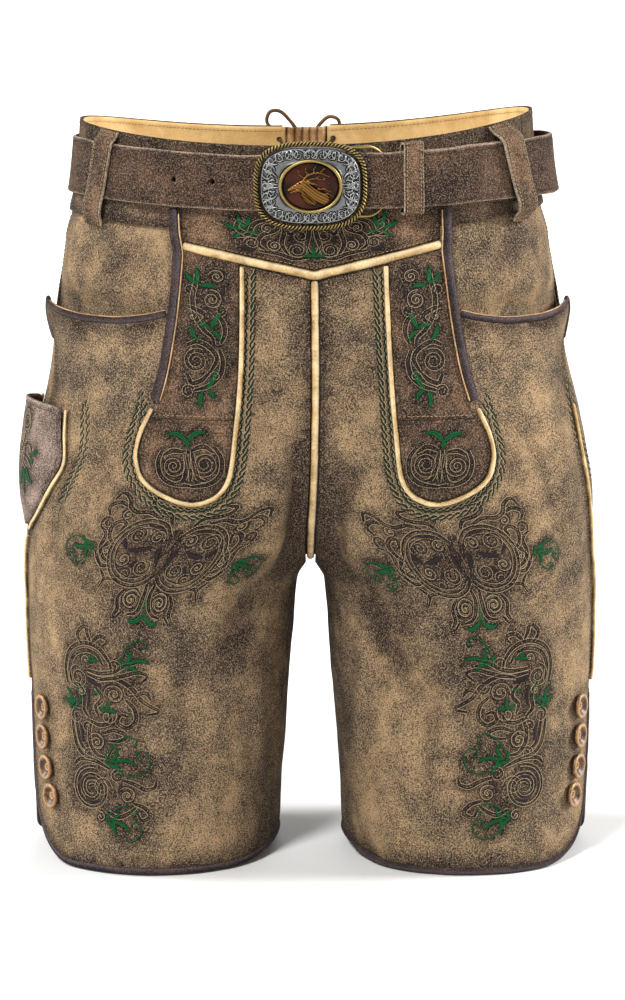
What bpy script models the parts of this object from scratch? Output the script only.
"""Short leather trousers of alpine folk dress, filled out as if worn, with their own belt.

Metres, +Z up. The front faces -Y and the wearer's left is +X. The origin is where the waist
holds the trousers up: on the middle of the waist opening, level with the middle of the waistband.

Every leather piece is cut from one surface. A point of it has a side (+1 for the wearer's left),
a level (its height before the waist line dips), an angle round the leg's oval (0 at the outer
side, a quarter turn at the front, a half turn at the inner leg) and a distance out of the surface.
"""
import math

import bmesh
import bpy
import numpy as np
from mathutils import Matrix, Vector

LEFT, RIGHT = 1, -1
SIDES = {"left": LEFT, "right": RIGHT}

LEATHER = 0.0018          # thickness of the suede
GAP = 0.0003              # between pieces that touch
HALF_GAP_ANGLE = 0.0016   # the same between two panels, as an angle on the oval

# The oval of half of the body, or of one leg, at each height.
# height, centre, half_width, front_depth, back_depth, squareness
BODY_ROWS = [
    (0.045, 0.0000, 0.1570, 0.1140, 0.1140, 2.15),
    (0.000, 0.0000, 0.1605, 0.1170, 0.1180, 2.15),
    (-0.033, 0.0000, 0.1665, 0.1200, 0.1240, 2.15),
    (-0.050, 0.0010, 0.1705, 0.1220, 0.1270, 2.15),
    (-0.085, 0.0085, 0.1685, 0.1250, 0.1340, 2.20),
    (-0.140, 0.0310, 0.1535, 0.1285, 0.1440, 2.25),
    (-0.190, 0.0590, 0.1375, 0.1295, 0.1480, 2.30),
    (-0.225, 0.0775, 0.1245, 0.1270, 0.1450, 2.30),
    (-0.255, 0.0910, 0.1125, 0.1220, 0.1360, 2.30),
    (-0.283, 0.1022, 0.1022, 0.1155, 0.1260, 2.25),
    (-0.300, 0.1070, 0.0975, 0.1120, 0.1210, 2.20),
    (-0.340, 0.1085, 0.0955, 0.1070, 0.1140, 2.15),
    (-0.400, 0.1100, 0.0925, 0.1020, 0.1060, 2.10),
    (-0.460, 0.1115, 0.0895, 0.0990, 0.1010, 2.10),
    (-0.510, 0.1115, 0.0865, 0.0970, 0.0980, 2.10),
]

# How the trousers hang a little to one side: of the whole, and of the front alone.
# height, whole, front
SWAY_ROWS = [
    (0.045, -0.0032, 0.0032),
    (-0.020, -0.0031, 0.0040),
    (-0.060, -0.0026, 0.0052),
    (-0.100, -0.0018, 0.0050),
    (-0.160, -0.0004, 0.0040),
    (-0.220, 0.0000, 0.0028),
    (-0.280, 0.0000, 0.0000),
    (-0.510, 0.0000, 0.0000),
]

# Where the side seam runs on the oval, in degrees, forward of the outermost point.
# height, left, right
SIDE_SEAM_ROWS = [
    (0.045, 6, 6),
    (-0.060, 4, 4),
    (-0.095, 3, 3),
    (-0.120, 11, 11),
    (-0.160, 19, 19),
    (-0.200, 22, 20),
    (-0.270, 18, 12),
    (-0.330, 12, 7),
    (-0.380, 12, 10),
    (-0.450, 14, 14),
    (-0.510, 15, 15),
]

# Soft troughs (negative) and ridges of the leather.
# side, angle in degrees, turn in degrees, top, bottom, half width in degrees, depth
FOLD_ROWS = [
    (LEFT, 150, -50, -0.235, -0.420, 13, -0.0035),
    (LEFT, 62, 10, -0.300, -0.500, 16, 0.0022),
    (LEFT, 118, 6, -0.330, -0.505, 15, 0.0020),
    (LEFT, 96, -22, -0.200, -0.330, 14, -0.0022),
    (LEFT, -60, -8, -0.120, -0.300, 16, -0.0030),
    (LEFT, -120, 30, -0.190, -0.330, 12, -0.0050),
    (LEFT, -140, 45, -0.250, -0.400, 12, -0.0045),
    (LEFT, -85, 6, -0.320, -0.500, 17, 0.0028),
    (LEFT, -35, 12, -0.300, -0.480, 14, -0.0026),
    (RIGHT, 148, -44, -0.240, -0.400, 12, -0.0032),
    (RIGHT, 70, 8, -0.290, -0.500, 15, 0.0020),
    (RIGHT, 112, 10, -0.340, -0.505, 16, 0.0024),
    (RIGHT, 86, -18, -0.210, -0.320, 15, -0.0020),
    (RIGHT, -52, -10, -0.110, -0.280, 15, -0.0028),
    (RIGHT, -116, 34, -0.200, -0.345, 13, -0.0046),
    (RIGHT, -144, 40, -0.255, -0.390, 11, -0.0050),
    (RIGHT, -92, 8, -0.310, -0.500, 16, 0.0026),
    (RIGHT, -40, 10, -0.320, -0.490, 15, -0.0022),
]
FOLD_CALM = 0.03          # folds fade out within this distance of the middle seams

FRONT_DIP, BACK_DIP = 0.0135, 0.018   # how far the waist line drops below its sides
WAIST_TILT = 0.0035 / 0.16            # rise towards the wearer's left, per metre
DIP_TOP, DIP_END = 0.020, -0.090

BAND_TOP, BAND_BOTTOM = 0.0345, -0.0305
BAND_OUT, BAND = 0.0025, 0.0016   # the waistband lies over the hips
PANEL_TOP = -0.0245       # the leg panels end under the waistband
BAND_SEAM_ANGLE = 22      # front to back waistband, in degrees
LINING_OUT, LINING, LINING_BOTTOM = 0.0001, 0.0010, -0.0225

YOKE_HALF_WIDTH = 0.0866
YOKE_TOP = 0.004
YOKE_POINT, YOKE_SLOPE = -0.0655, 0.252   # the V seam: its lowest point, and its rise per metre
FLAP_RISE = 0.0048        # the drop front lies over the waistband
FLAP_RISE_TOP, FLAP_RISE_END = -0.034, -0.054
PIPING = 0.0031           # half the width of the V seam's piping

# Upper edge of the front panel beside the flap: the pocket mouth.
# distance from the middle, height
MOUTH_ROWS = [
    (0.080, -0.0890),
    (0.099, -0.0925),
    (0.114, -0.0965),
    (0.137, -0.1000),
    (0.156, -0.1005),
    (0.170, -0.0985),
    (0.180, -0.0945),
    (0.190, -0.0920),
]
MOUTH_BINDING = 0.0020    # half its width
MOUTH_FLARE, CORNER_FLARE = 0.0022, 0.0048
FLARE_BOTTOM = -0.135
POCKET_DEPTH = 0.0080     # how far the hip piece falls back behind the mouth
POCKET_BOTTOM = -0.150

# The tab on each side of the flap: middle of the piping on its inner and outer edge.
# height, inner, outer
TAB_ROWS = [
    (-0.0450, 0.0483, 0.0910),
    (-0.0900, 0.0493, 0.0957),
    (-0.1280, 0.0508, 0.1020),
    (-0.1580, 0.0530, 0.1105),
    (-0.1760, 0.0550, 0.1190),
    (-0.1920, 0.0567, 0.1225),
    (-0.2050, 0.0588, 0.1200),
    (-0.2140, 0.0628, 0.1125),
    (-0.2205, 0.0690, 0.1015),
    (-0.2240, 0.0770, 0.0925),
    (-0.2252, 0.0845, 0.0850),
]
TAB_SEAM = -0.166
TAB_PIPING = 0.0018       # half its width
FLAP_WELT = 0.0036        # half the width of the dark welt on the flap's outer edge
FLAP_WELT_TOP, FLAP_WELT_END = -0.0135, -0.154

CENTRE_WELT = 0.0031      # half its width, and the room left for it between the leg panels
CENTRE_CHANNEL = 0.0034
GUSSET_HALF_WIDTH, GUSSET_BOTTOM = 0.0155, -0.098
GUSSET_PLEATS = 6
SIDE_WELT, SIDE_CHANNEL = 0.0022, 0.0026
SIDE_WELT_TOP, SIDE_WELT_TOP_RIGHT, SIDE_WELT_END = -0.164, -0.262, -0.372
SLIT_TOP, SLIT_CHANNEL = -0.379, 0.0034

HEM = -0.4930             # lower edge of the panels at the front and back of the leg
HEM_INNER_RISE = 0.008
CORNER_WIDTH, CORNER_HEIGHT = 0.20, 0.042   # of the panel's share, and in metres
HEM_BINDING = 0.0014

BELT_HALF, BELT_THICK = 0.0200, 0.0036
BELT_OUT, BELT_FLAP_OUT = 0.0032, 0.0090
BELT_STAND_OFF = 0.0090   # the belt stands away from the wearer's left hip
BELT_RISE, BELT_LEFT_DROP, BELT_RIGHT_RISE = 0.0090, -0.0033, 0.0025
BELT_START, TAIL_START, TAIL_END = 71.2, 98, 36    # degrees round the waist
KEEPER_ANGLE, KEEPER_HALF, KEEPER_REACH = 66, 0.0060, 0.0258

# Belt loops: degrees round the waist at the top and at the bottom, half width
LOOP_ROWS = [
    ("belt_loop_front_left", 33, 27, 0.0070),
    ("belt_loop_front_right", 147, 151, 0.0066),
    ("belt_loop_back_left", -58, -58, 0.0068),
    ("belt_loop_back_right", 238, 238, 0.0068),
]

BUCKLE_CENTRE = Vector((0.0, -0.1337, -0.0050))
BUCKLE_HALF = (0.0348, 0.0262)
BUCKLE_SQUARENESS = 3.0
BUCKLE_BEND = 0.22        # radius of the plate's curve round the waist
ROPE_RADIUS = 0.0019
MEDALLION_HALF = (0.0205, 0.0172)

# Knife pocket on the wearer's right thigh: its front and back edge on the oval.
# height, front edge in degrees, back edge in degrees, how far its middle stands out
KNIFE_ROWS = [
    (-0.1630, 32, 1, 0.0135),
    (-0.1820, 36, -3, 0.0110),
    (-0.2020, 39.5, -6, 0.0088),
    (-0.2200, 36, -3, 0.0074),
    (-0.2350, 31, 3, 0.0060),
    (-0.2460, 26, 9, 0.0044),
    (-0.2540, 20, 15, 0.0030),
]

# Buttons down the side slit. height, degrees on the left leg, degrees on the right leg
BUTTON_ROWS = [
    (-0.3845, 30.5, 32.5),
    (-0.4065, 30.0, 32.0),
    (-0.4285, 31.5, 34.0),
    (-0.4485, 35.0, 37.5),
]
BUTTON_RADIUS, BUTTON_THICK = 0.0092, 0.0045

LACE = 0.0016             # radius of the thong

# The bow's two loops, from the middle of its knot.
LACE_LOOPS = {
    "lace_loop_right": [
        (-0.0056, 0.0004, 0.0022), (-0.0120, 0.0008, 0.0110), (-0.0195, 0.0006, 0.0180),
        (-0.0270, 0.0006, 0.0175), (-0.0290, 0.0012, 0.0095), (-0.0210, 0.0020, 0.0020),
        (-0.0130, 0.0020, -0.0014), (-0.0057, 0.0014, -0.0022)],
    "lace_loop_left": [
        (0.0056, 0.0004, 0.0022), (0.0110, 0.0006, 0.0095), (0.0170, 0.0010, 0.0140),
        (0.0235, 0.0014, 0.0120), (0.0245, 0.0018, 0.0050), (0.0185, 0.0020, -0.0004),
        (0.0120, 0.0018, -0.0020), (0.0057, 0.0014, -0.0024)],
}

# The thong's two free ends, down over the belt.
# degrees round the waist from the middle of the back, height, how far out
LACE_ENDS = {
    "lace_end_right": [
        (-0.70, 0.0223, 0.0078), (-1.6, 0.0120, 0.0097), (-2.6, -0.0010, 0.0094),
        (-3.4, -0.0130, 0.0094), (-4.0, -0.0225, 0.0090), (-4.4, -0.0330, 0.0064),
        (-4.6, -0.0450, 0.0038), (-4.4, -0.0600, 0.0031), (-3.8, -0.0760, 0.0032)],
    "lace_end_left": [
        (0.70, 0.0223, 0.0078), (1.3, 0.0120, 0.0098), (2.3, -0.0010, 0.0094),
        (3.6, -0.0130, 0.0094), (4.9, -0.0225, 0.0090), (5.8, -0.0330, 0.0064),
        (6.2, -0.0450, 0.0038), (6.0, -0.0570, 0.0031)],
}

COLOURS = {
    "suede": (0.27, 0.20, 0.12, 0.85, 0.0),
    "dark_suede": (0.07, 0.05, 0.04, 0.80, 0.0),
    "piping": (0.74, 0.56, 0.31, 0.75, 0.0),
    "chamois": (0.78, 0.58, 0.31, 0.90, 0.0),
    "belt_leather": (0.20, 0.14, 0.09, 0.70, 0.0),
    "silver": (0.62, 0.62, 0.60, 0.35, 1.0),
    "brass": (0.55, 0.42, 0.18, 0.35, 1.0),
    "enamel": (0.16, 0.05, 0.02, 0.25, 0.0),
    "horn": (0.30, 0.17, 0.07, 0.40, 0.0),
    "thong": (0.22, 0.14, 0.08, 0.70, 0.0),
}


class Table:
    """Numbers by height, read between the rows along smooth curves that don't overshoot."""

    def __init__(self, rows):
        data = np.array(sorted(rows), float)
        self.at_rows, self.values = data[:, 0], data[:, 1:]
        self.steps = np.diff(self.at_rows)[:, None]
        rise = np.diff(self.values, axis=0) / self.steps
        slopes = np.empty_like(self.values)
        slopes[0], slopes[-1] = rise[0], rise[-1]
        product = rise[:-1] * rise[1:]
        total = np.where(product > 0, rise[:-1] + rise[1:], 1.0)
        slopes[1:-1] = np.where(product > 0, 2 * product / total, 0.0)
        self.slopes = slopes

    def at(self, height):
        """One array for each column, at the given heights."""
        height = np.clip(np.asarray(height, float), self.at_rows[0], self.at_rows[-1])
        low = np.clip(np.searchsorted(self.at_rows, height) - 1, 0, len(self.steps) - 1)
        step = self.steps[low, 0]
        t = ((height - self.at_rows[low]) / step)[..., None]
        step = step[..., None]
        start, end = self.values[low], self.values[low + 1]
        leave, arrive = self.slopes[low] * step, self.slopes[low + 1] * step
        found = (
            (2 * t**3 - 3 * t**2 + 1) * start
            + (t**3 - 2 * t**2 + t) * leave
            + (3 * t**2 - 2 * t**3) * end
            + (t**3 - t**2) * arrive
        )
        return np.moveaxis(found, -1, 0)


BODY = Table(BODY_ROWS)
SWAY = Table(SWAY_ROWS)
SIDE_SEAM = Table(SIDE_SEAM_ROWS)
MOUTH = Table(MOUTH_ROWS)
TAB = Table(TAB_ROWS)
KNIFE = Table(KNIFE_ROWS)


def ease(start, end, value):
    """0 up to start, 1 from end, smooth between."""
    t = np.clip((np.asarray(value, float) - start) / (end - start), 0, 1)
    return t * t * (3 - 2 * t)


def bent_power(value, power):
    return np.sign(value) * np.abs(value) ** power


def fold(side, level, angle):
    """How far the folds move the surface out."""
    total = np.zeros(np.broadcast(side, level, angle).shape)
    for on_side, start, turn, top, bottom, half_width, depth in FOLD_ROWS:
        along = np.clip((level - top) / (bottom - top), 0, 1)
        across = (np.degrees(angle) - start - turn * along) / half_width
        total = total + (side == on_side) * depth * np.sin(math.pi * along) * np.exp(-across**2)
    return total


def skin(side, level, angle, out=0.0):
    """Points of the trousers' surface, out metres outside it."""
    side, level, angle, out = np.broadcast_arrays(side, level, angle, out)
    centre, half_width, front, back, square = BODY.at(level)
    cosine, sine = np.cos(angle), np.sin(angle)
    depth = np.where(sine > 0, front, back)
    x = centre + half_width * bent_power(cosine, 2 / square)
    y = -depth * bent_power(sine, 2 / square)
    facing_x = bent_power(cosine, 2 - 2 / square) / half_width
    facing_y = -bent_power(sine, 2 - 2 / square) / depth
    length = np.hypot(facing_x, facing_y)
    out = out + fold(side, level, angle) * ease(0, FOLD_CALM, np.abs(x))
    x = side * (x + out * facing_x / length)
    y = y + out * facing_y / length
    dip = np.where(sine > 0, FRONT_DIP, BACK_DIP) * sine**2
    z = level + (WAIST_TILT * x - dip) * ease(DIP_END, DIP_TOP, level)
    whole, of_front = SWAY.at(level)
    x = x + whole + of_front * np.clip(sine, 0, 1) ** 2
    return np.stack([x, y, z], axis=-1)


def angle_at(level, distance):
    """The angle of the front's surface at a distance from the middle, up to the inner leg."""
    centre, half_width, _, _, square = BODY.at(level)
    share = np.clip((np.asarray(distance, float) - centre) / half_width, -1, 1)
    angle = np.arccos(bent_power(share, square / 2))
    return np.minimum(angle, math.pi - HALF_GAP_ANGLE)


def distance_at(level, angle):
    centre, half_width, _, _, square = BODY.at(level)
    return centre + half_width * bent_power(np.cos(angle), 2 / square)


def side_seam(side, level):
    left, right = SIDE_SEAM.at(level)
    return np.radians(left if side == LEFT else right)


def seam_channel(side, level):
    """Half of the room between the front and back panel at the side, as an angle."""
    top = SIDE_WELT_TOP if side == LEFT else SIDE_WELT_TOP_RIGHT
    room = np.where(level < top, SIDE_CHANNEL, 0.0)
    room = np.where(level < SIDE_WELT_END, 0.0, room)
    room = np.where(level < SLIT_TOP, SLIT_CHANNEL, room)
    return HALF_GAP_ANGLE + room / BODY.at(level)[2]


def flap_rise(level):
    return FLAP_RISE * ease(FLAP_RISE_END, FLAP_RISE_TOP, level)


def mouth_flare(level, distance):
    """How the front panel stands off at its pocket mouth, most at the corner."""
    amount = MOUTH_FLARE + CORNER_FLARE * ease(0.150, 0.180, distance)
    return amount * ease(FLARE_BOTTOM, -0.097, level) * ease(0.092, 0.112, distance)


def front_skin(side, level, angle, out=0.0):
    """The front panel's surface, raised on the flap and flared at the pocket."""
    distance = distance_at(level, angle)
    on_flap = 1 - ease(0.088, 0.092, distance)
    return skin(side, level, angle, out + flap_rise(level) * on_flap + mouth_flare(level, distance))


def on_flap(side, distance, level, out=0.0):
    """Points of the flap and its tabs, by distance from the middle and level."""
    return skin(side, level, angle_at(level, distance), out + flap_rise(level))


def round_waist(degrees, level, out=0.0):
    """Points round the waist: 0 at the wearer's left, 90 at the front, 270 at the back."""
    turn = np.radians(np.asarray(degrees, float))
    side = np.where(np.cos(turn) >= 0, LEFT, RIGHT)
    angle = np.arctan2(np.sin(turn), np.abs(np.cos(turn)))
    return skin(side, level, angle, out)


# ---- meshes and objects ----------------------------------------------------------------------


def start_scene():
    for left_over in list(bpy.data.objects):
        bpy.data.objects.remove(left_over)
    collection = bpy.data.collections.new("lederhosen")
    bpy.context.scene.collection.children.link(collection)
    return collection


def principled(name):
    material = bpy.data.materials.new(name)
    material.use_nodes = True
    red, green, blue, rough, metal = COLOURS[name]
    shader = material.node_tree.nodes["Principled BSDF"]
    shader.inputs["Base Color"].default_value = (red, green, blue, 1)
    shader.inputs["Roughness"].default_value = rough
    shader.inputs["Metallic"].default_value = metal
    material.diffuse_color = (red, green, blue, 1)
    return material


PARTS = start_scene()


def add_part(name, mesh, finish):
    """A named piece with its own material."""
    made = bpy.data.objects.new(name, mesh)
    PARTS.objects.link(made)
    material = principled(finish)
    material.name = f"{finish} of {name}"
    mesh.materials.clear()
    mesh.materials.append(material)
    mesh.shade_smooth()
    return made


def mesh_of(name, points, faces):
    mesh = bpy.data.meshes.new(name)
    mesh.from_pydata([tuple(p) for p in points], [], faces)
    return mesh


def close_outward(mesh):
    work = bmesh.new()
    work.from_mesh(mesh)
    bmesh.ops.recalc_face_normals(work, faces=work.faces)
    work.to_mesh(mesh)
    work.free()


def wall(name, grid, beyond, finish, thickness=LEATHER, closed=False):
    """A sheet of leather over a grid of points. Beyond is the same grid a little further out."""
    rows, columns = grid.shape[:2]
    spans = columns if closed else columns - 1
    faces = [
        (r * columns + c, r * columns + (c + 1) % columns,
         (r + 1) * columns + (c + 1) % columns, (r + 1) * columns + c)
        for r in range(rows - 1)
        for c in range(spans)
    ]
    r, c = rows // 2, columns // 2
    along = Vector(grid[r, c]) - Vector(grid[r, c - 1])
    down = Vector(grid[r, c]) - Vector(grid[r - 1, c])
    if along.cross(down).dot(Vector(beyond[r, c] - grid[r, c])) < 0:
        faces = [face[::-1] for face in faces]
    made = add_part(name, mesh_of(name, grid.reshape(-1, 3), faces), finish)
    shell = made.modifiers.new("thickness", "SOLIDIFY")
    shell.thickness = thickness
    shell.offset = -1
    return made


def bar(name, path, outward, half_width, half_thick, finish, sides=8, closed=False):
    """A solid strip of oval section along a path, flat side to the surface."""
    path, outward = np.asarray(path, float), np.asarray(outward, float)
    if closed:
        run = np.roll(path, -1, axis=0) - np.roll(path, 1, axis=0)
    else:
        run = np.gradient(path, axis=0)
    run /= np.linalg.norm(run, axis=1, keepdims=True)
    across = np.cross(outward, run)
    across /= np.linalg.norm(across, axis=1, keepdims=True)
    up = np.cross(run, across)
    half_width = np.broadcast_to(half_width, len(path))[:, None]
    half_thick = np.broadcast_to(half_thick, len(path))[:, None]
    turns = [2 * math.pi * s / sides for s in range(sides)]
    rings = [
        path + across * half_width * math.cos(a) + up * half_thick * math.sin(a) for a in turns
    ]
    points = np.stack(rings, axis=1).reshape(-1, 3)
    count = len(path)
    faces = [
        (i * sides + s, i * sides + (s + 1) % sides,
         (i + 1) % count * sides + (s + 1) % sides, (i + 1) % count * sides + s)
        for i in range(count if closed else count - 1)
        for s in range(sides)
    ]
    if not closed:
        faces += [tuple(range(sides)), tuple((count - 1) * sides + s for s in range(sides))]
    mesh = mesh_of(name, points, faces)
    close_outward(mesh)
    return add_part(name, mesh, finish)


def bar_on(name, surface, half_width, half_thick, finish, out, sides=8, slide=0.0):
    """A bar whose path is surface(out), with its flat side to that surface.

    Slide moves it sideways in the surface, away from the edge that it follows.
    """
    path, higher = surface(out), surface(out + 0.001)
    outward = (higher - path) / 0.001
    if slide:
        run = np.gradient(path, axis=0)
        across = np.cross(outward, run)
        path = path + slide * across / np.linalg.norm(across, axis=1, keepdims=True)
    return bar(name, path, outward, half_width, half_thick, finish, sides)


def tube(name, points, radius, finish, closed=False):
    """A round wire or thong through the given points."""
    curve = bpy.data.curves.new(name, "CURVE")
    curve.dimensions = "3D"
    curve.bevel_depth = radius
    curve.bevel_resolution = 1
    curve.use_fill_caps = not closed
    line = curve.splines.new("POLY")
    line.points.add(len(points) - 1)
    for spot, place in zip(line.points, points):
        spot.co = (*place, 1)
    line.use_cyclic_u = closed
    made = bpy.data.objects.new(name, curve)
    PARTS.objects.link(made)
    material = principled(finish)
    material.name = f"{finish} of {name}"
    curve.materials.append(material)
    return made


def smooth_path(points, between=4):
    """A curve through the points, with that many steps between each two."""
    points = [Vector(p) for p in points]
    ends = [2 * points[0] - points[1], *points, 2 * points[-1] - points[-2]]
    found = []
    for a, b, c, d in zip(ends, ends[1:], ends[2:], ends[3:]):
        for k in range(between):
            t = k / between
            found.append(0.5 * ((2 * b) + (c - a) * t + (2 * a - 5 * b + 4 * c - d) * t**2
                                + (3 * b - a - 3 * c + d) * t**3))
    return found + [points[-1]]


# ---- leg panels ------------------------------------------------------------------------------

COLUMNS = [0, 0.015, 0.055, 0.12, 0.22, 0.34, 0.46, 0.58, 0.70, 0.82, 0.92, 0.98, 1]
LEG_LEVELS = [-0.130, -0.1485, -0.166, -0.190, -0.214, -0.236, -0.252, -0.2645, -0.2750,
              -0.2820, -0.2862, -0.2910, -0.301, -0.318, -0.342, -0.367, -0.3805, -0.408, -0.442]
TOP_STEPS, HEM_STEPS = [0, 0.35, 0.7], [0.4, 0.75, 1]
BACK_TOP_LEVELS = [PANEL_TOP, -0.060, -0.084]   # the back panel beside the hip piece


def hem_level(share, angle):
    """The lower edge, rising in a round corner to the side slit and a little at the inner leg."""
    corner = CORNER_HEIGHT * (1 - np.sqrt(1 - np.clip(1 - share / CORNER_WIDTH, 0, 1) ** 2))
    return HEM + corner + HEM_INNER_RISE * ease(2.2, 3.1, np.abs(angle))


def front_top(distance):
    """Upper edge of the front panel: the V seam on the flap, the pocket mouth beside it."""
    seam = YOKE_POINT + YOKE_SLOPE * distance - PIPING - GAP
    mouth = MOUTH.at(distance)[0] - 2 * MOUTH_BINDING - 3 * GAP
    return np.where(distance > 0.0885, mouth, seam)


def back_channel(level):
    """Half the width between the back panels: the middle welt, and above it the gusset."""
    return CENTRE_CHANNEL + (GUSSET_HALF_WIDTH - CENTRE_CHANNEL + 0.0012) * ease(
        GUSSET_BOTTOM, -0.035, level)


def column_grid(side, facing, columns):
    """Levels and angles of one leg panel. Facing is +1 for the front and -1 for the back."""

    def angle_of(level):
        edge = facing * side_seam(side, level) + seam_channel(side, level)
        channel = CENTRE_CHANNEL if facing > 0 else back_channel(level)
        return edge + columns * (angle_at(level, channel) - edge)

    top = np.full(len(columns), -0.07 if facing > 0 else PANEL_TOP)
    if facing > 0:
        top = front_top(distance_at(-0.08, angle_of(top)))
        top = front_top(distance_at(top, angle_of(top)))
    hem = hem_level(columns, angle_of(np.full(len(columns), HEM)))
    levels = []
    if facing < 0:
        levels = [np.full(len(columns), level) for level in BACK_TOP_LEVELS]
        top = front_top(distance_at(-0.0965, side_seam(side, -0.0965))) + 0 * top
    levels += [top + (LEG_LEVELS[0] - top) * step for step in TOP_STEPS]
    levels += [np.full(len(columns), level) for level in LEG_LEVELS]
    levels += [LEG_LEVELS[-1] + (hem - LEG_LEVELS[-1]) * step for step in HEM_STEPS]
    levels = np.array(levels)
    angles = np.array([angle_of(level) for level in levels])
    return levels, facing * angles


def front_columns(side):
    """The columns, with two more where the front panel steps down beside the flap."""
    level = -0.08
    edge = side_seam(side, level) + HALF_GAP_ANGLE
    span = angle_at(level, CENTRE_CHANNEL) - edge
    steps = [(angle_at(level, distance) - edge) / span for distance in (0.0895, 0.0850)]
    kept = [c for c in COLUMNS if min(abs(c - s) for s in steps) > 0.03]
    return np.array(sorted(kept + steps))


def make_leg_panels(word, side):
    levels, angles = column_grid(side, 1, front_columns(side))
    grid, beyond = front_skin(side, levels, angles), front_skin(side, levels, angles, 0.001)
    wall(f"front_panel_{word}", grid, beyond, "suede")
    levels, angles = column_grid(side, -1, np.array(COLUMNS))
    wall(f"back_panel_{word}", skin(side, levels, angles), skin(side, levels, angles, 0.001),
         "suede")


def make_hip_piece(word, side):
    """The piece between waistband and pocket, which is also the back of the pocket."""
    levels = np.array([PANEL_TOP, -0.060, -0.073, -0.084, -0.092, -0.100, -0.115, POCKET_BOTTOM])
    across = np.array([0, 0.03, 0.15, 0.32, 0.5, 0.68, 0.86, 1.0])
    edge = side_seam(side, levels) + HALF_GAP_ANGLE + 0.03 * ease(-0.080, -0.099, levels)
    inner = angle_at(levels, 0.0925)
    angles = edge[:, None] + across * (inner - edge)[:, None]
    levels = levels[:, None] + 0 * across
    pouch = np.sin(math.pi * np.clip(across, 0, 1)) ** 0.6
    sink = (LEATHER + 0.0008 + POCKET_DEPTH * pouch) * ease(-0.074, -0.099, levels)
    wall(f"hip_piece_{word}", skin(side, levels, angles, -sink),
         skin(side, levels, angles, 0.001 - sink), "suede")


def make_waistband():
    turns = {
        "waistband_front_left": (BAND_SEAM_ANGLE, 89.9),
        "waistband_front_right": (90.1, 180 - BAND_SEAM_ANGLE),
        "waistband_back_left": (BAND_SEAM_ANGLE - 0.2, -82.3),
        "waistband_back_right": (180.2 - BAND_SEAM_ANGLE, 262.3),
    }
    for name, (start, end) in turns.items():
        degrees = np.linspace(start, end, 11 if "front" in name else 14)
        levels = np.array([[BAND_TOP], [0.012], [-0.010], [BAND_BOTTOM]])
        wall(name, round_waist(degrees, levels, BAND_OUT), round_waist(degrees, levels, 0.01),
             "suede", BAND)


def make_lining():
    for word, start, end in (("left", BAND_SEAM_ANGLE - 0.2, -82.3),
                             ("right", 180.2 - BAND_SEAM_ANGLE, 262.3)):
        degrees = np.linspace(start, end, 14)
        levels = np.array([[BAND_TOP - 0.0008], [0.010], [LINING_BOTTOM]])
        wall(f"waist_lining_{word}", round_waist(degrees, levels, LINING_OUT),
             round_waist(degrees, levels, 0.01), "chamois", LINING)


def make_back_gusset():
    """A pleated insert that the lace draws together at the middle of the back."""
    levels = np.array([BAND_TOP - 0.001, 0.006, PANEL_TOP, -0.060, -0.084, GUSSET_BOTTOM])
    share = np.linspace(-1, 1, 4 * GUSSET_PLEATS + 1)
    half_width = back_channel(levels) + 0.0030
    distance = np.abs(share) * half_width[:, None]
    side = np.where(share < 0, RIGHT, LEFT) + 0 * distance
    levels = levels[:, None] + 0 * share
    angles = -angle_at(levels, distance)
    pleats = -0.0033 + 0.0010 * np.cos(share * math.pi * GUSSET_PLEATS) * ease(
        -0.100, -0.060, levels)
    wall("back_gusset", skin(side, levels, angles, pleats),
         skin(side, levels, angles, pleats + 0.001), "suede", 0.0014)


# ---- flap, tabs, piping ----------------------------------------------------------------------


def seam_level(distance):
    """The V seam between the flap's yoke and what hangs below it."""
    return YOKE_POINT + YOKE_SLOPE * np.abs(distance)


def make_flap():
    across = np.linspace(-YOKE_HALF_WIDTH, YOKE_HALF_WIDTH, 13)
    side = np.where(across < 0, RIGHT, LEFT)
    low = seam_level(across) + PIPING + GAP
    levels = np.array([YOKE_TOP + (low - YOKE_TOP) * step for step in (0, 0.45, 0.75, 0.9, 1)])
    wall("flap_yoke", on_flap(side, np.abs(across), levels),
         on_flap(side, np.abs(across), levels, 0.001), "suede", 0.0015)
    across = np.linspace(-YOKE_HALF_WIDTH, YOKE_HALF_WIDTH, 13)
    bar_on("yoke_piping",
           lambda out: on_flap(side, np.abs(across), seam_level(across), out),
           PIPING, 0.0018, "piping", 0.0016)


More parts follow.
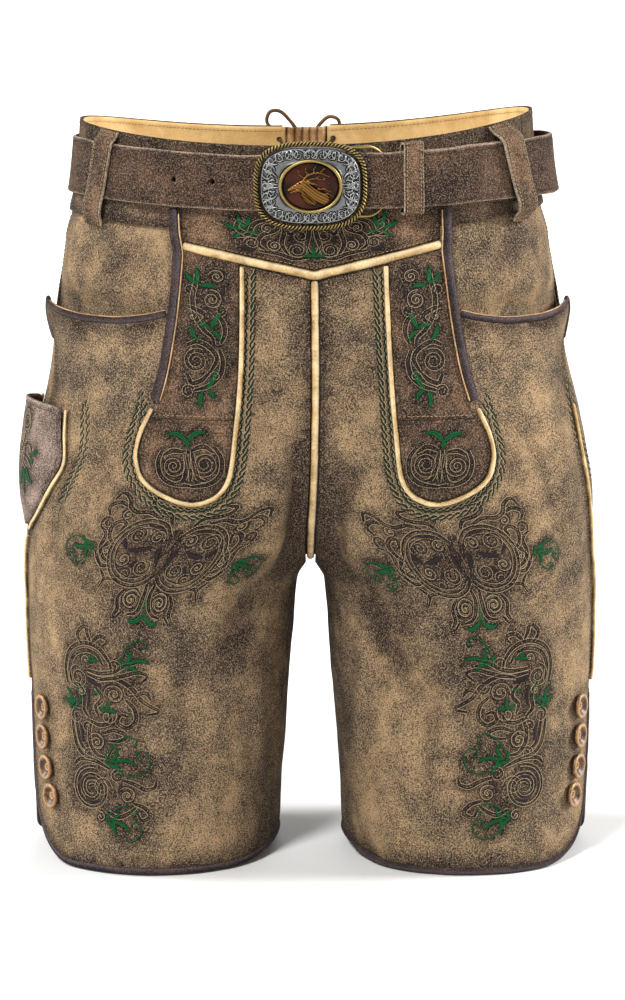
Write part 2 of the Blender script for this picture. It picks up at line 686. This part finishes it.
def make_tab(word, side):
    """The strap and the rounded pad that cover the flap's slit, with their piping."""
    inset = TAB_PIPING + 2 * GAP
    share = np.linspace(0, 1, 5)
    top = seam_level(0.049 + share * 0.036) - PIPING - GAP
    steps = np.array([0, 0.25, 0.5, 0.72, 0.9, 1.0])[:, None]
    levels = top + (TAB_SEAM + GAP / 2 - top) * steps
    inner, outer = TAB.at(levels)
    welted = ease(TAB_SEAM, FLAP_WELT_END - 0.002, levels)
    side_welt_room = inset + (FLAP_WELT + 2 * GAP - inset) * welted
    distance = inner + inset + share * (outer - side_welt_room - inner - inset)
    layer = 0.0006 + LEATHER
    wall(f"tab_strap_{word}", on_flap(side, distance, levels, layer),
         on_flap(side, distance, levels, layer + 0.001), "suede")

    rows = np.array([TAB_SEAM - GAP / 2, -0.178, -0.190, -0.202, -0.2105, -0.2170, -0.2210,
                     -0.2228])
    inner, outer = TAB.at(rows - inset * ease(-0.190, -0.222, rows))
    levels = rows[:, None] + 0 * share
    distance = (inner + inset)[:, None] + share * (outer - inner - 2 * inset)[:, None]
    wall(f"tab_pad_{word}", on_flap(side, distance, levels, layer),
         on_flap(side, distance, levels, layer + 0.001), "suede")

    down = np.array([-0.1595, -0.168, -0.176, -0.184, -0.192, -0.199, -0.205, -0.210, -0.214,
                     -0.2177, -0.2205, -0.2228])
    up = np.concatenate([down[::-1][:-2], [-0.158, -0.140, -0.120, -0.100, -0.080, -0.0588]])
    outer_edge, inner_edge = TAB.at(down)[1], TAB.at(up)[0]
    path_levels = np.concatenate([down, [-0.2246, -0.2252, -0.2246], up])
    path_distance = np.concatenate([outer_edge, [0.0905, 0.0848, 0.0780], inner_edge])
    bar_on(f"tab_piping_{word}", lambda out: on_flap(side, path_distance, path_levels, out),
           TAB_PIPING, 0.0017, "piping", 0.0023, sides=6)


def make_flap_welt(word, side):
    """The dark rolled edge down the outer side of the flap."""
    levels = np.linspace(FLAP_WELT_TOP, FLAP_WELT_END, 14)
    distance = TAB.at(levels)[1]
    bar_on(f"flap_welt_{word}", lambda out: on_flap(side, distance, levels, out),
           FLAP_WELT, 0.0015, "dark_suede", 0.0021, sides=6)


def make_centre_welt():
    """One strip from the flap's point down the front, between the legs and up the back."""
    crotch = -0.2838
    front = [-0.0700, -0.095, -0.125, -0.155, -0.185, -0.210, -0.232, -0.250, -0.263, -0.273,
             -0.2795]
    back = front[::-1][:-1] + [GUSSET_BOTTOM - 0.004]
    path = [skin(LEFT, level, angle_at(level, 0)) for level in front]
    path.append(np.array([path[-1][0], -0.0105, crotch]))
    path.append(np.array([path[-1][0], 0.0115, crotch]))
    path += [skin(LEFT, level, -angle_at(level, 0)) for level in back]
    path = np.array(path)
    run = np.gradient(path, axis=0)
    sideways = np.array([1.0, 0.0, 0.0])
    outward = np.cross(run, sideways)
    outward /= np.linalg.norm(outward, axis=1, keepdims=True)
    bar("centre_welt", path + outward * 0.0002, outward, CENTRE_WELT, 0.0022, "piping", sides=6)


def make_pocket_binding(word, side):
    """The dark edge of the pocket mouth, from under the flap to the corner at the side seam."""
    distance = np.array([0.1014, 0.109, 0.118, 0.128, 0.138, 0.148, 0.157, 0.165, 0.171, 0.1755])
    level = MOUTH.at(distance)[0] - MOUTH_BINDING
    angle = angle_at(level, distance)
    edge = side_seam(side, -0.0965) + HALF_GAP_ANGLE
    level = np.append(level, [-0.0958])
    angle = np.append(angle, edge)
    bar_on(f"pocket_binding_{word}", lambda out: front_skin(side, level, angle, out),
           MOUTH_BINDING, 0.0015, "dark_suede", -0.0007, sides=6)


def make_side_welt(word, side):
    top = SIDE_WELT_TOP if side == LEFT else SIDE_WELT_TOP_RIGHT
    levels = np.linspace(top - 0.003, SIDE_WELT_END, 12 if side == LEFT else 8)
    angle = side_seam(side, levels)
    bar_on(f"side_welt_{word}", lambda out: skin(side, levels, angle, out),
           SIDE_WELT, 0.0022, "piping", 0.0006, sides=6)


def make_hem_binding(word, side):
    """The rolled dark edge round the hem and up both edges of the side slit."""
    paths, outs = [], []
    for facing in (1, -1):
        share = front_columns(side) if facing > 0 else np.array(COLUMNS)
        share = np.append(share[:-1], 0.988)
        edge = facing * side_seam(side, HEM) + seam_channel(side, np.array(HEM))
        angle = edge + share * (math.pi - edge)
        hem = hem_level(share, angle)
        edge_here = facing * side_seam(side, hem) + seam_channel(side, hem)
        angle = edge_here + share * (math.pi - edge_here)
        slit = np.array([SLIT_TOP - 0.0025, -0.395, -0.408, -0.425, -0.442])
        slit_angle = facing * side_seam(side, slit) + seam_channel(side, slit)
        levels = np.concatenate([slit, hem])
        angles = facing * np.concatenate([slit_angle, angle])
        order = slice(None) if facing > 0 else slice(None, None, -1)
        paths.append(skin(side, levels[order], angles[order], -LEATHER / 2))
        outs.append(skin(side, levels[order], angles[order], 0.001 - LEATHER / 2))
    path, beyond = np.concatenate(paths), np.concatenate(outs)
    outward = beyond - path
    outward /= np.linalg.norm(outward, axis=1, keepdims=True)
    run = np.gradient(path, axis=0)
    across = np.cross(outward, run)
    across /= np.linalg.norm(across, axis=1, keepdims=True)
    path = path + side * across * (HEM_BINDING + GAP + 0.0001)
    bar(f"hem_binding_{word}", path, outward, HEM_BINDING, 0.0015, "dark_suede", sides=6)


def make_knife_pocket():
    heights = np.array([row[0] for row in KNIFE_ROWS])
    front, back, bulge = KNIFE.at(heights)
    share = np.linspace(-1, 1, 9)
    middle, half = (front + back) / 2, (front - back) / 2 - 1.3
    angles = np.radians(middle[:, None] + half[:, None] * share)
    out = 0.0006 + LEATHER + bulge[:, None] * (1 - share**2) ** 0.8
    levels = heights[:, None] - 0.004 * share**2 * ease(-0.20, -0.165, heights)[:, None]
    wall("knife_pocket", skin(RIGHT, levels, angles, out), skin(RIGHT, levels, angles, out + 0.001),
         "suede")
    down = np.linspace(-0.1675, -0.2530, 12)
    front, back, _ = KNIFE.at(down)
    angles = np.radians(np.concatenate([front, [18.2], back[::-1]]))
    levels = np.concatenate([down, [-0.2570], down[::-1]])
    bar_on("knife_pocket_piping", lambda out: skin(RIGHT, levels, angles, out), 0.0014, 0.0013,
           "piping", 0.0018, sides=6)


# ---- belt ------------------------------------------------------------------------------------


def belt_level(degrees):
    turn = np.radians(np.asarray(degrees, float))
    ahead = np.clip(np.sin(turn), 0, 1) ** 1.3
    left, right = np.clip(np.cos(turn), 0, 1) ** 2, np.clip(-np.cos(turn), 0, 1) ** 2
    return BELT_RISE * ahead + BELT_LEFT_DROP * left + BELT_RIGHT_RISE * right


def belt_out(degrees):
    """How far the belt's inner face lies out of the trousers."""
    degrees = np.asarray(degrees, float)
    over_flap = ease(40, 52, degrees) * (1 - ease(128, 140, degrees))
    stand_off = np.exp(-((degrees - 2) / 26) ** 2)
    return BELT_OUT + (BELT_FLAP_OUT - BELT_OUT) * over_flap + BELT_STAND_OFF * stand_off


def belt_strip(name, degrees, out):
    heights = np.array([[BELT_HALF], [0.0], [-BELT_HALF]])
    level = belt_level(degrees) + heights
    wall(name, round_waist(degrees, level, out), round_waist(degrees, level, out + 0.001),
         "belt_leather", BELT_THICK)


def tail_out(degrees):
    over_base = 1 - ease(72, 80, degrees)
    return belt_out(degrees) + BELT_THICK + over_base * (BELT_THICK + 0.0005)


def make_belt():
    round_back = np.concatenate([
        np.linspace(BELT_START, -24, 18), np.linspace(-32, -148, 14),
        np.linspace(-156, -261, 18)])
    flat = np.where(round_back < -180, round_back + 360, round_back)
    belt_strip("belt_strap", flat, belt_out(flat) + BELT_THICK)
    tail = np.linspace(TAIL_START, TAIL_END, 17)
    belt_strip("belt_tail", tail, tail_out(tail))
    make_keeper()
    for name, top, bottom, half_width in LOOP_ROWS:
        make_belt_loop(name, top, bottom, half_width)


def make_keeper():
    """A leather ring that holds the belt's tail."""
    inner = BELT_FLAP_OUT - 0.0011 - 0.0018
    outer = BELT_FLAP_OUT + 2 * BELT_THICK + 0.0005 + 0.0012 + 0.0018
    middle, half = (inner + outer) / 2, (outer - inner) / 2
    turns = np.linspace(0, 2 * math.pi, 20, endpoint=False)
    level = belt_level(KEEPER_ANGLE) + KEEPER_REACH * bent_power(np.cos(turns), 0.6)
    out = middle + half * bent_power(np.sin(turns), 0.3)
    edges = np.array([[-1.0], [1.0]]) * math.degrees(KEEPER_HALF / 0.150)
    slant = 2.0 * np.cos(turns)
    grid = round_waist(KEEPER_ANGLE + edges + slant, level, out)
    centre = grid.mean(axis=(0, 1))
    wall("belt_keeper", grid, grid + (grid - centre) * 0.1, "suede", 0.0016, closed=True)


def loop_out(degrees):
    """The outer face of the belt under a loop."""
    face = belt_out(degrees) + BELT_THICK
    return np.where((degrees > TAIL_END - 9) & (degrees < 70), tail_out(degrees), face)


def make_belt_loop(name, top, bottom, half_width):
    steps = [(BAND_TOP - 0.0008, 0.0), (0.0295, 0.25), (0.0262, 0.75), (0.0200, 1.0), (0.0, 1.0),
             (-0.0190, 1.0), (-0.0275, 0.75), (-0.0320, 0.25), (-0.0355, 0.0)]
    levels = np.array([level for level, _ in steps])
    lift = np.array([share for _, share in steps])
    centre = top + (bottom - top) * (levels[0] - levels) / (levels[0] - levels[-1])
    levels = levels + belt_level(centre) * (1 - np.abs(levels) / 0.036)
    face = loop_out(centre).max() + 0.0012 + 0.0018
    out = BAND_OUT + 0.0004 + 0.0018 + (face - BAND_OUT - 0.0022) * lift
    edges = np.array([-1.0, 1.0]) * math.degrees(half_width / 0.150)
    grid = round_waist(centre[:, None] + edges, levels[:, None], out[:, None])
    beyond = round_waist(centre[:, None] + edges, levels[:, None], out[:, None] + 0.001)
    wall(name, grid, beyond, "suede", 0.0018)


# ---- buckle ----------------------------------------------------------------------------------


def buckle_point(x, z, out):
    """A point of the buckle by width, height and how far it stands forward of its back."""
    return BUCKLE_CENTRE + Vector((x, x * x / (2 * BUCKLE_BEND) - out, z))


def oval(half, share, count, square):
    """Points of a squared oval."""
    turns = [2 * math.pi * k / count for k in range(count)]
    return [(half[0] * share * float(bent_power(math.cos(t), 2 / square)),
             half[1] * share * float(bent_power(math.sin(t), 2 / square))) for t in turns]


def disc(name, half, square, profile, finish, count=32):
    """A closed plate: rings of a squared oval, each with a share of its size and a height."""
    points, faces = [], []
    for share, out in profile:
        points += [buckle_point(x, z, out) for x, z in oval(half, share, count, square)]
    for r in range(len(profile) - 1):
        for k in range(count):
            n = (k + 1) % count
            faces.append((r * count + k, r * count + n, (r + 1) * count + n, (r + 1) * count + k))
    faces.append(tuple(range(count)))
    last = (len(profile) - 1) * count
    faces.append(tuple(last + k for k in range(count)))
    mesh = mesh_of(name, points, faces)
    close_outward(mesh)
    return add_part(name, mesh, finish)


def make_buckle():
    disc("buckle_plate", BUCKLE_HALF, BUCKLE_SQUARENESS,
         [(0.99, 0.0), (1.0, 0.0012), (0.94, 0.0030), (0.80, 0.0042), (0.66, 0.0044)], "silver")
    rim = (BUCKLE_HALF[0] + ROPE_RADIUS + GAP, BUCKLE_HALF[1] + ROPE_RADIUS + GAP)
    tube("buckle_rope_rim", [buckle_point(x, z, 0.0014) for x, z in oval(rim, 1, 32, 3.0)],
         ROPE_RADIUS, "brass", closed=True)
    ring = [buckle_point(x, z, 0.0058) for x, z in oval(MEDALLION_HALF, 1, 24, 2.0)]
    tube("medallion_rim", ring, 0.0011, "brass", closed=True)
    disc("medallion", MEDALLION_HALF, 2.0, [(0.92, 0.0047), (0.92, 0.0052), (0.6, 0.0054)],
         "enamel", count=24)
    make_stag()
    make_bail()


def make_stag():
    """A stag's head and neck in low relief, with its antlers swept back."""
    head = [(-0.0150, -0.0005), (-0.0105, 0.0030), (-0.0065, 0.0046), (-0.0035, 0.0042),
            (0.0010, 0.0010), (0.0090, -0.0010), (0.0130, -0.0055), (0.0100, -0.0095),
            (0.0010, -0.0100), (-0.0045, -0.0070), (-0.0085, -0.0046), (-0.0140, -0.0040)]
    antlers = [(-0.0038, 0.0048), (-0.0050, 0.0100), (-0.0020, 0.0088), (0.0015, 0.0112),
               (0.0030, 0.0085), (0.0075, 0.0092), (0.0070, 0.0060), (0.0115, 0.0040),
               (0.0060, 0.0030), (0.0015, 0.0042), (0.0002, 0.0020)]
    outline = head[:4] + antlers + head[5:]
    points = [buckle_point(x, z, 0.0057) for x, z in outline]
    points += [buckle_point(x, z, 0.0072) for x, z in outline]
    count = len(outline)
    faces = [(k, (k + 1) % count, count + (k + 1) % count, count + k) for k in range(count)]
    faces += [tuple(range(count)), tuple(count + k for k in range(count))]
    mesh = mesh_of("stag_relief", points, faces)
    work = bmesh.new()
    work.from_mesh(mesh)
    bmesh.ops.triangulate(work, faces=[f for f in work.faces if len(f.verts) > 4])
    bmesh.ops.recalc_face_normals(work, faces=work.faces)
    work.to_mesh(mesh)
    work.free()
    add_part("stag_relief", mesh, "brass")


def make_bail():
    """The wire behind the plate that the belt's fixed end folds round."""
    stations = [(0.022, 0.0250), (0.033, 0.0262), (0.045, 0.0265), (0.0525, 0.0215),
                (0.0540, 0.0025), (0.0525, -0.0165), (0.045, -0.0208), (0.033, -0.0212),
                (0.022, -0.0205)]
    path = [buckle_point(x, z, -0.0023 - 0.0041 * float(ease(0.038, 0.050, x)))
            for x, z in stations]
    tube("buckle_bail", smooth_path(path, 2), 0.0011, "brass")


# ---- lace and buttons ------------------------------------------------------------------------


def make_lace():
    """A leather thong: crossings over the gusset, a knot above the belt, two loops, two ends."""
    spot = round_waist(270, 0.0262, 0.0)
    x, y, z = (float(v) for v in spot)
    crossings = []
    reach = GUSSET_HALF_WIDTH - 0.0030
    for k, level in enumerate((0.0245, 0.0150, 0.0040, -0.0070, -0.0180)):
        turn = 270 + (1 if k % 2 else -1) * math.degrees(reach / 0.150)
        crossings.append(round_waist(turn, level, 0.0002))
    tube("lace_crossing", smooth_path(crossings, 3), 0.0011, "thong")
    knot = Vector((x, y + 0.0055, z))
    mesh = bpy.data.meshes.new("lace_knot")
    work = bmesh.new()
    bmesh.ops.create_uvsphere(work, u_segments=12, v_segments=8, radius=0.0042)
    work.to_mesh(mesh)
    work.free()
    mesh.transform(Matrix.Translation(knot) @ Matrix.Diagonal((1.25, 0.9, 0.97, 1)))
    add_part("lace_knot", mesh, "thong")
    for name, route in LACE_LOOPS.items():
        path = [knot + Vector(step) for step in route]
        tube(name, smooth_path(path, 2), LACE, "thong")
    for name, route in LACE_ENDS.items():
        path = [round_waist(270 + turn, level, out) for turn, level, out in route]
        tube(name, smooth_path(path, 2), LACE, "thong")


def make_buttons():
    """Dished horn buttons down each side slit, all of one turned form."""
    profile = [(0.0, 0.0016), (0.0030, 0.0018), (0.0056, 0.0036), (0.0074, 0.0045),
               (0.0088, 0.0040), (0.0092, 0.0030), (0.0086, 0.0016), (0.0066, 0.0), (0.0, 0.0)]
    mesh = bpy.data.meshes.new("button")
    work = bmesh.new()
    points = [work.verts.new((r, 0, z)) for r, z in profile]
    for a, b in zip(points, points[1:]):
        work.edges.new((a, b))
    bmesh.ops.spin(work, geom=work.verts[:] + work.edges[:], axis=(0, 0, 1), cent=(0, 0, 0),
                   steps=12, angle=2 * math.pi)
    bmesh.ops.remove_doubles(work, verts=work.verts, dist=0.00001)
    bmesh.ops.recalc_face_normals(work, faces=work.faces)
    work.to_mesh(mesh)
    work.free()
    for word, side in SIDES.items():
        for number, (level, on_left, on_right) in enumerate(BUTTON_ROWS, start=1):
            angle = math.radians(on_left if side == LEFT else on_right)
            place = Vector(skin(side, level, angle, 0.0004))
            outward = Vector(skin(side, level, angle, 0.01)) - place
            made = add_part(f"button_{word}_{number}", mesh.copy(), "horn")
            made.location = place
            made.rotation_euler = outward.to_track_quat("Z", "Y").to_euler()


for word, side in SIDES.items():
    make_leg_panels(word, side)
    make_hip_piece(word, side)
    make_tab(word, side)
    make_flap_welt(word, side)
    make_pocket_binding(word, side)
    make_side_welt(word, side)
    make_hem_binding(word, side)
make_waistband()
make_lining()
make_back_gusset()
make_flap()
make_centre_welt()
make_knife_pocket()
make_belt()
make_buckle()
make_lace()
make_buttons()
